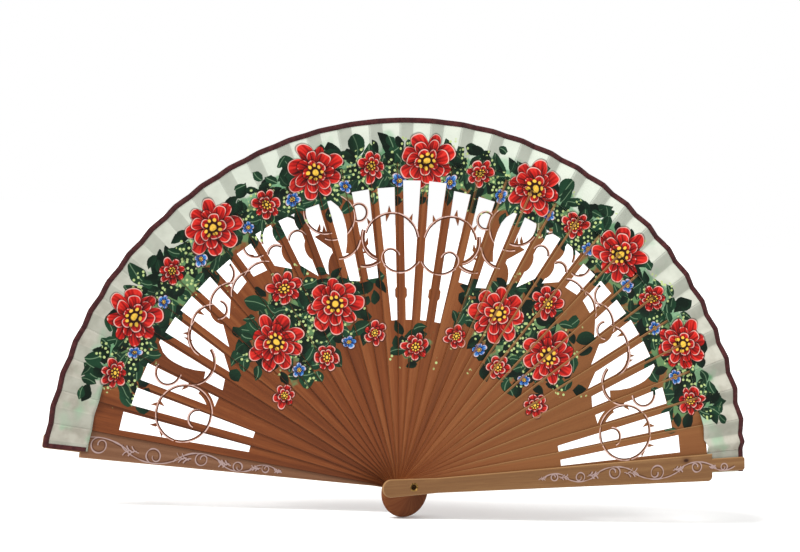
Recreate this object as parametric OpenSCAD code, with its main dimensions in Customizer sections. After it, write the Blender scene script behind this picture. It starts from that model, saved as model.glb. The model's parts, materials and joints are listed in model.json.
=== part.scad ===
// Folding hand fan with pierced wooden sticks, a pleated cloth leaf and a brass rivet.
// It stands open and upright: the fan lies in the XZ plane, its front faces -Y,
// and the rivet runs along Y through the origin. All lengths are in millimetres.

/* [Fan] */
// Radius from the rivet to the outer edge of the leaf
fan_r = 211; // [206:1:216]
// Angle between the two guards when the fan is fully open
open_deg = 170; // [160:1:172]
// Length of every head past the rivet
head_l = 19; // [17:0.5:21]
// Width of the rounded heads
head_w = 10.4; // [10:0.1:11]
// Narrowest width, just outside the rivet
neck_w = 8.6; // [8.2:0.1:9]

/* [Sticks] */
// Thickness of one stick
stick_t = 0.65; // [0.5:0.05:0.75]
// Free space between one stick and the next in the stack
stick_gap = 0.15; // [0.12:0.01:0.2]
// How far each blade laps under the next one at its outer end
blade_lap = 1.4; // [1:0.1:2]
// Width of the rib behind the leaf
rib_w = 4.5; // [3.5:0.1:5]
// Width of the bar that two neighbours leave standing between their windows
bar_w = 4.8; // [4.4:0.1:5.2]
// Width of a turned knob on a bar
knob_w = 6.8; // [6:0.1:7.4]

/* [Scrolls] */
// Width of the cut scrolls
scroll_w = 1.4; // [1.2:0.1:1.7]
// Radius of the small curls, in spaces between two bars
curl_share = 0.335; // [0.325:0.005:0.345]
// Radius of the half rings, in spaces
half_share = 0.47; // [0.46:0.005:0.48]
// Radius of the C scrolls, in spaces
wide_share = 0.845; // [0.83:0.005:0.86]
// Radius of the great rings beside the guards, in spaces
great_share = 1.07; // [1.06:0.005:1.08]

/* [Windows] */
// Width of the plain band between the windows and the end of the blades
top_band = 21; // [19:0.5:23]
// Length of the windows at the centre
centre_l = 71; // [68:0.5:74]
// Length of the windows beside the guards
side_l = 73.5; // [70:0.5:77]
// Longest of the windows between them
short_l = 48; // [46:0.5:50]

/* [Guards] */
// Thickness of a guard
guard_t = 2.2; // [2:0.1:2.6]
// Width of a guard at its wide end
guard_w = 16.3; // [15.5:0.1:16.5]
// Length of the wide part past the end of the blades
guard_past = 2.5; // [2:0.1:3]
// Width of the tongue over the leaf
tongue_w = 8; // [7:0.1:8.4]
// Sideways offset of the tongue
tongue_shift = 1.2; // [0.8:0.1:1.4]
// Corner radius of the wide end
guard_corner = 3; // [2:0.1:3.5]

/* [Rivet] */
// Diameter of the pin
pin_d = 3; // [2.6:0.1:3.2]
// Radial clearance between the pin and the sticks
pin_clear = 0.05; // [0.03:0.01:0.08]
// Diameter of the cupped washers
washer_d = 5; // [4.6:0.1:5.4]
// Thickness of the cupped washers
washer_t = 0.9; // [0.8:0.05:1.1]
// Depth of the washers below the face of a guard
washer_sink = 0.1; // [0.05:0.01:0.2]

/* [Leaf] */
// Width of the leaf, from the end of the blades to its outer edge
leaf_w = 24; // [22:0.5:26]
// Thickness of the cloth
leaf_t = 0.3; // [0.25:0.01:0.35]
// Free space between the cloth and the ribs
leaf_gap = 0.35; // [0.33:0.01:0.4]
// Height of the pleats at the inner edge
pleat_in = 2; // [1.5:0.1:2.4]
// Height of the pleats at the outer edge
pleat_out = 4.2; // [3.5:0.1:4.6]
// Width of the edge binding
binding_w = 3; // [2.6:0.1:3.2]
// Thickness of the binding tape
binding_t = 0.24; // [0.2:0.01:0.25]

/* [Hidden] */
$fn = 64;
stick_n = 32;
pitch = open_deg / (stick_n + 1);
middle = (stick_n + 1) / 2;
first_a = 90 + open_deg / 2;
step_z = stick_t + stick_gap;
total_t = 2 * guard_t + stick_gap + stick_n * step_z;
rear_z = -total_t / 2;
front_z = rear_z + guard_t + stick_gap + stick_n * step_z;
neck_r = head_l * 0.75;
head_rad = head_w / 2;
blade_r = fan_r - leaf_w;
window_out = blade_r - top_band;
space = window_out * sin(pitch);
curl_r = curl_share * space;
half_r = half_share * space;
wide_r = wide_share * space;
great_r = great_share * space;
head_x = head_rad - head_l;
blade_half = blade_r * sin(pitch / 2) + blade_lap / 2;
guard_r = blade_r + guard_past;
bore_d = pin_d + 2 * pin_clear;
seat_d = washer_d + 2 * pin_clear;
seat_deep = washer_t + washer_sink;
fit = 0.02;
leaf_in = blade_r - leaf_w / 16;
leaf_out = fan_r - binding_t - fit;
bind_in = fan_r - binding_w;
rib_r = bind_in - binding_w / 3;
tail_w = binding_w * 0.75;
tuck = 2.5 * binding_t;
tip_round = tongue_w * 0.19;
leaf_end = 0.24;

function stick_z(k) = rear_z + guard_t + stick_gap + (k - 1) * step_z;
function stick_a(k) = first_a - k * pitch;

// Length of the window of stick number h beside bar number w; both are counted from the middle of the fan
function window_l(h, w) = h < 2 ? centre_l : h > 14 ? side_l : wave_l(abs(w - 8) / 5.5);
function wave_l(far) = short_l * (0.33 + 0.62 * pow(sin(90 * min(1, far / 0.85)), 2.6));
function window_top(h) = window_out + top_band * top_share(h);
function top_share(h) = h < 1 ? 0.43 : h < 3 ? 0.25 : h < 7 || h > 15 ? 0.17 : 0.02;
// Radius at a depth below the outer end of the windows, in spaces between two bars
function deep(n) = window_out - n * space;
// Half of a window's width at a radius: the bars run along the seams between the sticks
function window_half(r) = r * tan(pitch / 2) - bar_w / 2 / cos(pitch / 2);

// Stands a flat drawing up so that it faces the viewer
module upright() {
    rotate([90, 0, 0])
        children();
}

// Part of a ring, its angles counted from the outward direction
module ring_part(rad, wide, a0, a1) {
    step = (a1 - a0) / 5;
    intersection() {
        difference() {
            circle(r = rad + wide / 2);
            circle(r = rad - wide / 2);
        }
        polygon(concat([[0, 0]],
            [for (i = [0 : 5]) 3 * rad * [cos(a0 + i * step), sin(a0 + i * step)]]));
    }
}

// Places a drawing on bar number w as seen from stick j; both are counted from the middle of the fan
module at_bar(j, w, r) {
    rotate((j - w) * pitch)
        translate([r, 0])
            children();
}

// A cut scroll round a point of the fan, on each stick that it reaches
module scroll(j, w, n, rad, a0, a1, thick = 1) {
    r = deep(n);
    if (abs(j - w) * r * sin(pitch) < rad + thick * scroll_w + r * sin(pitch / 2))
        at_bar(j, w, r)
            ring_part(rad, thick * scroll_w, a0, a1);
}

// A pointed leaflet that grows out of a scroll
module leaflet(j, w, n, turn) {
    if (abs(j - w) < 1)
        at_bar(j, w, deep(n))
            rotate(turn)
                scale(space)
                    polygon([[-0.064, 0], [0.064, -0.071], [0.306, 0], [0.064, 0.071]]);
}

// Solid wood that swells from a bar into the window on its right
module field(j, w, n, size) {
    if (j - w == 0.5)
        at_bar(j, w, deep(n))
            scale([1.6, 1])
                circle(r = size * space);
}

// A wedge of solid wood on the right of a bar
module wedge(j, w, n) {
    if (j - w == 0.5)
        at_bar(j, w, deep(n))
            scale(space)
                polygon([[-0.47, 0], [-0.335, -0.174], [0.302, -0.692], [0.37, -0.135], [0.37, 0]]);
}

// Solid wood with a hollow edge on one side of a bar
module hollow(j, w, n, side) {
    if (w - j == side / 2)
        at_bar(j, w, deep(n))
            scale(space)
                mirror([0, side < 0 ? 1 : 0])
                    polygon([[-1.48, 0], [0.933, 0], [0.836, 0.772], [0.466, 0.45], [0.193, 0.338],
                        [-0.097, 0.299], [-0.515, 0.299], [-0.965, 0.386], [-1.351, 0.515]]);
}

// A turned knob on a bar
module knob(j, w) {
    if (abs(j - w) == 0.5)
        at_bar(j, w, window_out - centre_l * 0.78)
            polygon([[-knob_w, 0], [-knob_w * 0.3, -knob_w / 2], [knob_w * 0.3, -knob_w / 2],
                [knob_w, 0], [knob_w * 0.3, knob_w / 2], [-knob_w * 0.3, knob_w / 2]]);
}

// The fretwork on one side of the middle bar
module half_fretwork(j) {
    knob(j, 1);
    scroll(j, 1, 2.074, wide_r, 122, 232);
    scroll(j, 1.5, 2.335, curl_r, 222, 440);
    scroll(j, 1.4, 1.704, great_r, -70, 86);
    leaflet(j, 0.55, 0.96, 20);
    leaflet(j, 1.42, 0.644, 0);
    leaflet(j, 1.5, 0.644, 195);
    leaflet(j, 2.28, 1.005, 340);
    scroll(j, 1.75, 1.543, wide_r, 203, 296, 1.8);
    leaflet(j, 2.6, 1.745, 20);
    leaflet(j, 2.55, 1.945, 250);
    scroll(j, 2.6, 1.71, wide_r, 150, 205, 1.6);
    scroll(j, 2.7, 0.451, curl_r, -32, 215);
    hollow(j, 3, 0.538, -1);
    scroll(j, 3.75, 1.169, wide_r, 115, 195, 1.3);
    scroll(j, 4, 0.1, wide_r, 180, 300, 1.2);
    leaflet(j, 4.3, 0.873, 15);
    leaflet(j, 4.5, 0.737, 30);
    wedge(j, 4, 1.208);
    field(j, 4, 2.544, 0.547);
    scroll(j, 5.95, 0.403, wide_r, -80, 78);
    scroll(j, 5.45, 0.712, curl_r, -75, 85);
    field(j, 5, 0.135, 0.274);
    field(j, 5, 1.275, 0.29);
    field(j, 6, 0.235, 0.258);
    scroll(j, 6.5, 0.831, curl_r, -65, 65, 1.2);
    field(j, 6, 1.072, 0.274);
    scroll(j, 7.05, 0.1, half_r, 175, 285);
    leaflet(j, 7.35, 0.47, 330);
    scroll(j, 7.6, 1.555, wide_r, -33, 45);
    scroll(j, 8.25, 1.555, wide_r, -60, 30);
    scroll(j, 8.75, 0.2, half_r, 80, 200);
    scroll(j, 9.3, 1.343, wide_r, -58, 45);
    scroll(j, 9.85, 1.085, curl_r, 60, 230);
    scroll(j, 10.55, 1.369, wide_r, -45, 50);
    field(j, 10, 1.275, 0.258);
    leaflet(j, 10.45, 0.538, 170);
    scroll(j, 10.9, 1.51, wide_r, -95, 5, 1.5);
    leaflet(j, 11.35, 0.805, 330);
    leaflet(j, 11.55, 0.973, 350);
    scroll(j, 12.3, 1.497, wide_r, 115, 250, 1.3);
    hollow(j, 13, 0.773, 1);
    scroll(j, 13.15, 0.831, half_r, 165, 375);
    scroll(j, 14.55, 2.013, great_r, -88, 268);
    scroll(j, 14.55, 2.013, great_r, 108, 165, 3);
    leaflet(j, 13.3, 1.745, 300);
    scroll(j, 14.6, 2.576, curl_r, -80, 85);
    leaflet(j, 14.4, 0.94, 200);
    leaflet(j, 14.5, 0.953, 340);
    leaflet(j, 15.35, 1.153, 350);
    leaflet(j, 15.5, 1.343, 250);
}

// All the fretwork, alike on both sides of the middle bar
module fretwork(j) {
    half_fretwork(j);
    mirror([0, 1])
        half_fretwork(-j);
}

// The opening of a stick before the fretwork is put back; its inner end follows the wave of the windows
module window(j) {
    h = abs(j);
    side = j < 0 ? -1 : 1;
    near = window_out - window_l(h, h - 0.5);
    far = window_out - window_l(h, h + 0.5);
    high = window_top(h);
    left = side > 0 ? near : far;
    right = side > 0 ? far : near;
    polygon([[left, window_half(left)], [right, -window_half(right)],
        [high, -window_half(high)], [high, window_half(high)]]);
}

// Tapered outline that every stick shares, from the head to the end of the blade
module blank(end_r, end_half) {
    translate([head_x, 0])
        circle(r = head_rad);
    polygon([[head_x, -head_rad], [neck_r, -neck_w / 2], [end_r, -end_half],
        [end_r, end_half], [neck_r, neck_w / 2], [head_x, head_rad]]);
}

// One pierced stick drawn flat along +X
module stick_flat(j) {
    difference() {
        union() {
            blank(blade_r, blade_half);
            translate([blade_r - 1, -rib_w / 2])
                square([rib_r - blade_r + 1, rib_w]);
        }
        difference() {
            window(j);
            fretwork(j);
        }
        circle(d = bore_d);
    }
}

module stick(k) {
    color("sienna")
        upright()
            translate([0, 0, stick_z(k)])
                rotate(stick_a(k))
                    linear_extrude(stick_t)
                        stick_flat(k - middle);
}

// A guard drawn flat along +X: wide part with a rounded corner and a narrower tongue
module guard_flat() {
    low = tongue_shift - tongue_w / 2;
    difference() {
        union() {
            translate([head_x, 0])
                circle(r = head_rad);
            polygon([[head_x, -head_rad], [neck_r, -neck_w / 2], [guard_r - guard_corner, -guard_w / 2],
                [guard_r, guard_corner - guard_w / 2], [guard_r, guard_w / 2],
                [neck_r, neck_w / 2], [head_x, head_rad]]);
            translate([guard_r - guard_corner, guard_corner - guard_w / 2])
                circle(r = guard_corner);
            translate([guard_r - 1, low])
                square([fan_r - guard_r + 1 - tip_round, tongue_w]);
            translate([fan_r - 2 * tip_round, low + tip_round])
                square([2 * tip_round, tongue_w - 2 * tip_round]);
            translate([fan_r - tip_round, low + tip_round])
                circle(r = tip_round);
            translate([fan_r - tip_round, low + tongue_w - tip_round])
                circle(r = tip_round);
        }
        circle(d = bore_d);
    }
}

module rear_guard() {
    color("saddlebrown")
        upright()
            difference() {
                translate([0, 0, rear_z])
                    rotate(stick_a(0))
                        linear_extrude(guard_t)
                            guard_flat();
                translate([0, 0, rear_z - 1])
                    cylinder(d = seat_d, h = seat_deep + 1);
            }
}

module front_guard() {
    color("peru")
        upright()
            difference() {
                translate([0, 0, front_z])
                    rotate(stick_a(stick_n + 1))
                        linear_extrude(guard_t)
                            guard_flat();
                translate([0, 0, front_z + guard_t - seat_deep])
                    cylinder(d = seat_d, h = seat_deep + 1);
            }
}

// The pin runs from one washer to the other and has a dimple in both ends
module rivet_pin() {
    half = total_t / 2 - washer_sink - washer_t / 3;
    color("darkgoldenrod")
        upright()
            difference() {
                translate([0, 0, -half])
                    cylinder(d = pin_d, h = 2 * half);
                translate([0, 0, half + pin_d])
                    sphere(r = 1.1 * pin_d);
                translate([0, 0, -half - pin_d])
                    sphere(r = 1.1 * pin_d);
            }
}

// Cupped washer, its rim at the top
module washer() {
    rotate_extrude()
        polygon([[pin_d / 2 + fit, 0], [washer_d / 2, 0], [washer_d / 2, washer_t],
            [washer_d / 2 - washer_t / 3, washer_t], [pin_d / 2 + fit, washer_t / 2]]);
}

module rivet_front_washer() {
    color("goldenrod")
        upright()
            translate([0, 0, total_t / 2 - seat_deep])
                washer();
}

module rivet_rear_washer() {
    color("goldenrod")
        upright()
            mirror([0, 0, 1])
                translate([0, 0, total_t / 2 - seat_deep])
                    washer();
}

// The fold lines of the leaf: place in the fan, depth of the cloth's back, share of the pleat height
function rib_top(k) = (k == 0 ? rear_z + guard_t : stick_z(k) + stick_t) + leaf_gap;
folds = concat(
    [[-leaf_end, rib_top(0), 0], [0, rib_top(0), 0]],
    [for (k = [0 : stick_n - 1]) each [
        [k + 0.5, (rib_top(k) + rib_top(k + 1)) / 2, 1],
        [k + 1, rib_top(k + 1), 0]]],
    [[stick_n + 0.24, rib_top(stick_n), 0.6],
        [stick_n + 0.47, front_z - leaf_t - tuck, 0],
        [stick_n + 1.2, front_z - leaf_t - tuck, 0]]);

// The cloth starts over the ends of the blades, and outside them where it goes behind the front guard
function cloth_in(f) = f[0] > stick_n + 0.1 ? blade_r + leaf_w / 48 : leaf_in;
function pleat(r) = pleat_in + (pleat_out - pleat_in) * (r - leaf_in) / (fan_r - leaf_in);
function fold_point(f, r, up) =
    [r * cos(stick_a(f[0])), r * sin(stick_a(f[0])), f[1] + f[2] * pleat(r) + up];

// Skins a row of closed sections of n points each. Every diagonal runs outwards from one section
// to the next: those of the edges in the turned list, which run inwards, are swapped.
module skin(sections, n, caps, turned) {
    m = len(sections);
    points = [for (s = sections) each s];
    sides = [for (i = [0 : m - 2]) for (e = [0 : n - 1])
        let (a = i * n + e, b = i * n + (e + 1) % n, turn = len(search(e, turned)) > 0)
        each turn ? [[a, b, a + n], [b, b + n, a + n]] : [[a, b, b + n], [a, b + n, a + n]]];
    last = [for (c = caps) [for (i = [3 : -1 : 0]) c[i] + (m - 1) * n]];
    polyhedron(points, concat(sides, caps, last), convexity = 12);
}

// Pleated cloth, one pleat between every two ribs
module leaf() {
    color("honeydew")
        upright()
            skin([for (f = folds) [fold_point(f, cloth_in(f), 0), fold_point(f, cloth_in(f), leaf_t),
                fold_point(f, bind_in, leaf_t), fold_point(f, leaf_out, leaf_t),
                fold_point(f, leaf_out, 0), fold_point(f, bind_in, 0)]], 6,
                [[0, 5, 2, 1], [5, 4, 3, 2]], [4, 5]);
}

// Tape folded round the outer edge of the cloth, with a short tail down its left end
module edge_binding() {
    low = -fit - binding_t;
    high = leaf_t + fit + binding_t;
    color("maroon")
        upright() {
            skin([for (f = folds) [fold_point(f, bind_in, low), fold_point(f, bind_in, -fit),
                fold_point(f, leaf_out + fit, -fit), fold_point(f, leaf_out + fit, leaf_t + fit),
                fold_point(f, bind_in, leaf_t + fit), fold_point(f, bind_in, high),
                fold_point(f, fan_r, high), fold_point(f, fan_r, low)]], 8,
                [[0, 7, 2, 1], [7, 6, 3, 2], [6, 5, 4, 3]], [3, 7]);
            rotate(stick_a(-leaf_end))
                translate([leaf_in + 1, -tail_w, rib_top(0) + leaf_t + fit])
                    cube([bind_in - leaf_in - 0.5, tail_w, binding_t]);
        }
}

rear_guard();
stick(1);  // stick_01
stick(2);  // stick_02
stick(3);  // stick_03
stick(4);  // stick_04
stick(5);  // stick_05
stick(6);  // stick_06
stick(7);  // stick_07
stick(8);  // stick_08
stick(9);  // stick_09
stick(10);  // stick_10
stick(11);  // stick_11
stick(12);  // stick_12
stick(13);  // stick_13
stick(14);  // stick_14
stick(15);  // stick_15
stick(16);  // stick_16
stick(17);  // stick_17
stick(18);  // stick_18
stick(19);  // stick_19
stick(20);  // stick_20
stick(21);  // stick_21
stick(22);  // stick_22
stick(23);  // stick_23
stick(24);  // stick_24
stick(25);  // stick_25
stick(26);  // stick_26
stick(27);  // stick_27
stick(28);  // stick_28
stick(29);  // stick_29
stick(30);  // stick_30
stick(31);  // stick_31
stick(32);  // stick_32
front_guard();
rivet_pin();
rivet_front_washer();
rivet_rear_washer();
leaf();
edge_binding();
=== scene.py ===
"""Dresses the folding hand fan: pierced painted wood, pleated cloth, brass rivet, camera, light."""

import bisect
import inspect
import json
import logging
import math
from collections.abc import Callable
from dataclasses import dataclass
from enum import Enum
from functools import cached_property
from typing import TypeAlias

import bmesh
import bpy
from bmesh.types import BMEdge, BMesh, BMVert
from bpy.types import Material, Node, NodeSocket, NodeTree, Object
from mathutils import Matrix, Vector, noise


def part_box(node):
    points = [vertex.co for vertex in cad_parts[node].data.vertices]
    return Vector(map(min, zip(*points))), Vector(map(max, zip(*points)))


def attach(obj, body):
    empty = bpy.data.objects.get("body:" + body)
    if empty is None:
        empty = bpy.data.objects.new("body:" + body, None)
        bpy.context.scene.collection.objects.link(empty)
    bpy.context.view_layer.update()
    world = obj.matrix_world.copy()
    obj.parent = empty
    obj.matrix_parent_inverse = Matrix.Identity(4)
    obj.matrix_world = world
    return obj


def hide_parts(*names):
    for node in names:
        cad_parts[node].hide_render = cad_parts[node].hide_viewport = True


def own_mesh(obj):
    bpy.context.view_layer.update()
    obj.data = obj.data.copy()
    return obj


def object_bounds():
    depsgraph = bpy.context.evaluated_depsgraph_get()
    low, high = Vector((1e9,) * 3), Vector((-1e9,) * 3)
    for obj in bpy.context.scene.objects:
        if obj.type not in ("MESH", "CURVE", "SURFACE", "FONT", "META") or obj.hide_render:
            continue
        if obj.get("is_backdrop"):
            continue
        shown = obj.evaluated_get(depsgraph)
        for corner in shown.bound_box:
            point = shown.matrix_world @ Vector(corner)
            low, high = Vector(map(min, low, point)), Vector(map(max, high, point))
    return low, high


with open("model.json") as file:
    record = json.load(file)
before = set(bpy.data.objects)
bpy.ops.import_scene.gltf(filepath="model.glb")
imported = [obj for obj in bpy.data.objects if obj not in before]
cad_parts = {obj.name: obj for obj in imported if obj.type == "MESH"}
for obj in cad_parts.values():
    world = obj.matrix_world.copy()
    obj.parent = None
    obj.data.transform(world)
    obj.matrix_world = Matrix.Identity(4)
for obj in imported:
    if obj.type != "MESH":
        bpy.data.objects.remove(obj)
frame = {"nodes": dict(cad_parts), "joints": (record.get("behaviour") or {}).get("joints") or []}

LOG = logging.getLogger("hand_fan")
MM = 0.001
FAR_MM = 99.0  # added to a distance, it puts a point out of a brush's reach

Number: TypeAlias = "Signal | float"
Paint: TypeAlias = NodeSocket | str
Arc: TypeAlias = tuple[float, ...]  # middle point, radius, aim and half of the spread
Pair: TypeAlias = tuple[float, float]
Fade: TypeAlias = tuple[float, float, float]  # none, full, and the strength when full


def linear(code: str) -> tuple[float, float, float, float]:
    """Turn an sRGB hex colour into linear RGBA.

    Args:
        code: colour as "#rrggbb".

    Returns:
        Linear red, green, blue and an alpha of 1.
    """
    parts = [int(code[i : i + 2], 16) / 255 for i in (1, 3, 5)]
    red, green, blue = (c / 12.92 if c <= 0.04045 else ((c + 0.055) / 1.055) ** 2.4 for c in parts)
    return red, green, blue, 1.0


def add_node(
    tree: NodeTree,
    kind: str,
    inputs: dict | None = None,
    stops: list[tuple[float, str]] | None = None,
    **settings: object,
) -> Node:
    """Add one node with its settings, its links and, for a colour ramp, its stops.

    Args:
        tree: material or world tree that the node goes into.
        kind: Blender's name of the node type.
        inputs: value, socket, Signal or hex colour for each input, by its index or name.
        stops: place and hex colour of each stop of a colour ramp, lowest first.
        settings: the node's own properties.

    Returns:
        The new node.
    """
    node = tree.nodes.new(kind)
    for name, setting in settings.items():
        setattr(node, name, setting)
    for key, given in (inputs or {}).items():
        given = getattr(given, "socket", given)
        if isinstance(given, NodeSocket):
            tree.links.new(given, node.inputs[key])
        else:
            node.inputs[key].default_value = linear(given) if isinstance(given, str) else given
    if stops:
        elements = node.color_ramp.elements
        elements.remove(elements[1])
        elements[0].position, elements[0].color = stops[0][0], linear(stops[0][1])
        for place, code in stops[1:]:
            elements.new(place).color = linear(code)
    return node


class Signal:
    """A number in a material, which grows the node tree through plain arithmetic."""

    HAIRS = ((7.0, 0.27), (17.3, 0.23))  # closeness and strength of coarse and fine streaks

    def __init__(self, socket: NodeSocket) -> None:
        """Hold the socket that gives the number."""
        self.socket = socket

    def to(self, operation: str, *others: Number) -> "Signal":
        """Return this number joined to the others by one Math operation."""
        inputs = dict(enumerate((self, *others)))
        node = add_node(self.socket.id_data, "ShaderNodeMath", inputs, operation=operation)
        return Signal(node.outputs[0])

    def __add__(self, other: Number) -> "Signal":
        """Return the sum."""
        return self.to("ADD", other)

    def __sub__(self, other: Number) -> "Signal":
        """Return the difference."""
        return self.to("SUBTRACT", other)

    def __rsub__(self, other: float) -> "Signal":
        """Return a plain number less this one."""
        return self.to("MULTIPLY_ADD", -1.0, other)

    def __mul__(self, other: Number) -> "Signal":
        """Return the product."""
        return self.to("MULTIPLY", other)

    def __truediv__(self, other: Number) -> "Signal":
        """Return the quotient."""
        return self.to("DIVIDE", other)

    def __pow__(self, power: float) -> "Signal":
        """Return this number raised to a power."""
        return self.to("POWER", power)

    def __abs__(self) -> "Signal":
        """Return the size of this number."""
        return self.to("ABSOLUTE")

    def hypot(self, other: "Signal") -> "Signal":
        """Return the length of the vector that this number and another make."""
        return (self * self + other * other).to("SQRT")

    def luck(self) -> "Signal":
        """Return an even random number from 0 to 1 that depends on this number alone."""
        tree = self.socket.id_data
        node = add_node(tree, "ShaderNodeTexWhiteNoise", {"W": self}, noise_dimensions="1D")
        return Signal(node.outputs[0])

    def hairs(self) -> "Signal":
        """Return the streaks, from 0 to 1, of a brush drawn at right angles to this number."""
        coarse, fine = ((self * near).to("SINE") * strength for near, strength in self.HAIRS)
        return coarse + fine + 0.5

    def cover(self, none: float, full: float, strength: float | None = None) -> "Signal":
        """Return how far paint covers: 0 at one value, 1 or a lesser strength at the other."""
        inputs = {0: self, 1: none, 2: full}
        settings = {"interpolation_type": "SMOOTHSTEP", "clamp": False}
        node = add_node(self.socket.id_data, "ShaderNodeMapRange", inputs, **settings)
        covered = Signal(node.outputs[0])
        return covered if strength is None else covered * strength


class Stencil:
    """A part of a pattern that is drawn once, as a node group, and stamped with other numbers."""

    def __init__(self, name: str, draw: Callable[..., tuple[Signal, ...]]) -> None:
        """Draw the stencil.

        Args:
            name: what it shows.
            draw: turns the numbers that its arguments name into the results.
        """
        self.tree = bpy.data.node_groups.new(name, "ShaderNodeTree")
        add_socket = self.tree.interface.new_socket
        wanted = list(inspect.signature(draw).parameters)
        for key in wanted:
            add_socket(key, in_out="INPUT", socket_type="NodeSocketFloat")
        given = add_node(self.tree, "NodeGroupInput").outputs
        results = draw(*(Signal(given[key]) for key in wanted))
        for number in range(len(results)):
            add_socket(f"result_{number}", in_out="OUTPUT", socket_type="NodeSocketFloat")
        add_node(self.tree, "NodeGroupOutput", dict(enumerate(results)))

    def stamp(self, tree: NodeTree, *numbers: Number) -> list[Signal]:
        """Return the stencil's results for some numbers, in a material's tree."""
        node = add_node(tree, "ShaderNodeGroup", dict(enumerate(numbers)), node_tree=self.tree)
        return [Signal(result) for result in node.outputs]


class Coat:
    """A colour that is built up layer by layer, as paint is."""

    def __init__(self, tree: NodeTree, colour: Paint) -> None:
        """Start from the colour of the bare surface, or of the paint that is laid first."""
        self.tree = tree
        self.colour = colour

    def lay(self, mask: Signal, paint: Paint) -> None:
        """Cover the coat with a paint, or a hex colour, where the mask is 1."""
        inputs = {0: mask, 6: self.colour, 7: paint}
        self.colour = add_node(self.tree, "ShaderNodeMix", inputs, data_type="RGBA").outputs[2]


class Decal(Coat):
    """A coat that is painted apart and then put on another surface."""

    covered: Signal | None = None

    def lay(self, mask: Signal, paint: Paint) -> None:
        """Lay a paint and note where."""
        super().lay(mask, paint)
        self.covered = self.covered.to("MAXIMUM", mask) if self.covered else mask


@dataclass(frozen=True)
class FanLayout:
    """Where the sticks lie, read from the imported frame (millimetres and radians)."""

    count: int
    pitch: float
    first: float
    rim: float
    leaf_in: float
    stick_back: float
    stick_front: float
    step: float
    guard_back: float
    guard_front: float
    lowest: float

    @classmethod
    def from_frame(cls) -> "FanLayout":
        """Read the layout from the frame's boxes and its main joint."""
        count = sum(name.startswith("stick_") for name in frame["nodes"])
        opening = next(j for j in frame["joints"] if j["name"] == "fan_fold")["range_deg"][1]
        front_1, back_1 = (corner.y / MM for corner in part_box("stick_01"))
        leaf_points = (v.co.xz.length for v in frame["nodes"]["leaf"].data.vertices)
        return cls(
            count=count,
            pitch=math.radians(opening) / (count + 1),
            first=math.radians(90 + opening / 2),
            rim=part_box("edge_binding")[1].z / MM,
            leaf_in=min(leaf_points) / MM,
            stick_back=back_1,
            stick_front=front_1,
            step=front_1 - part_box("stick_02")[0].y / MM,
            guard_back=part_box("rear_guard")[0].y / MM,
            guard_front=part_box("front_guard")[1].y / MM,
            lowest=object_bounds()[0].z,
        )

    def bearing(self, place: float) -> float:
        """Return the angle of a place in the fan, 0 being the rear guard and 1 the first stick."""
        return self.first - place * self.pitch

    def front_of(self, number: int) -> float:
        """Return the depth of the face that carries the leaf, on the rear guard or on a stick."""
        return self.guard_back if number == 0 else self.stick_front - (number - 1) * self.step

    def body(self, number: int) -> str:
        """Return the name of the body at a place in the fan."""
        if number == 0:
            return "base"
        return "front_guard" if number > self.count else f"stick_{number:02d}"


class Canvas:
    """The fan's face as numbers: millimetres, radius from the rivet, and bars from the middle."""

    FRONT = (-0.2, -0.6)  # how far a face leans forward where paint begins, and where it is full

    def __init__(self, tree: NodeTree, layout: FanLayout) -> None:
        """Make the values that every pattern on the fan shares.

        Args:
            tree: the material's node tree.
            layout: where the sticks lie.
        """
        self.tree = tree
        self.layout = layout
        where = add_node(tree, "ShaderNodeTexCoord").outputs
        sized = {0: where["Object"], 3: 1 / MM}
        self.point = add_node(tree, "ShaderNodeVectorMath", sized, operation="SCALE").outputs[0]
        parts = add_node(tree, "ShaderNodeSeparateXYZ", {0: self.point}).outputs
        self.x, self.y, self.z = (Signal(part) for part in parts)
        facing = add_node(tree, "ShaderNodeSeparateXYZ", {0: where["Normal"]}).outputs[1]
        self.facing = Signal(facing)
        self.front = self.facing.cover(*self.FRONT)
        self.flat = self.spot(self.x, self.z)

    def spot(self, *parts: Number) -> NodeSocket:
        """Return the place that two or three numbers give."""
        return add_node(self.tree, "ShaderNodeCombineXYZ", dict(enumerate(parts))).outputs[0]

    def mottle(self, size: float, detail: float = 2.0, at: NodeSocket | None = None) -> Signal:
        """Return soft blotches from 0 to 1, about that many millimetres across."""
        inputs = {"Vector": at or self.flat, "Scale": 1 / size, "Detail": detail}
        return Signal(add_node(self.tree, "ShaderNodeTexNoise", inputs).outputs[0])

    def along(self, bearing: Number) -> tuple[Signal, Signal]:
        """Return the place along and across a stick that lies at a bearing."""
        if isinstance(bearing, float):
            cosine, sine = math.cos(bearing), math.sin(bearing)
        else:
            cosine, sine = bearing.to("COSINE"), bearing.to("SINE")
        return self.x * cosine + self.z * sine, self.z * cosine - self.x * sine

    def polar(self, x: Signal, z: Signal) -> tuple[Signal, Signal]:
        """Return a point's distance from the rivet and its bars to the right of the middle."""
        return x.hypot(z), (math.pi / 2 - z.to("ARCTAN2", x)) / self.layout.pitch


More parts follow.
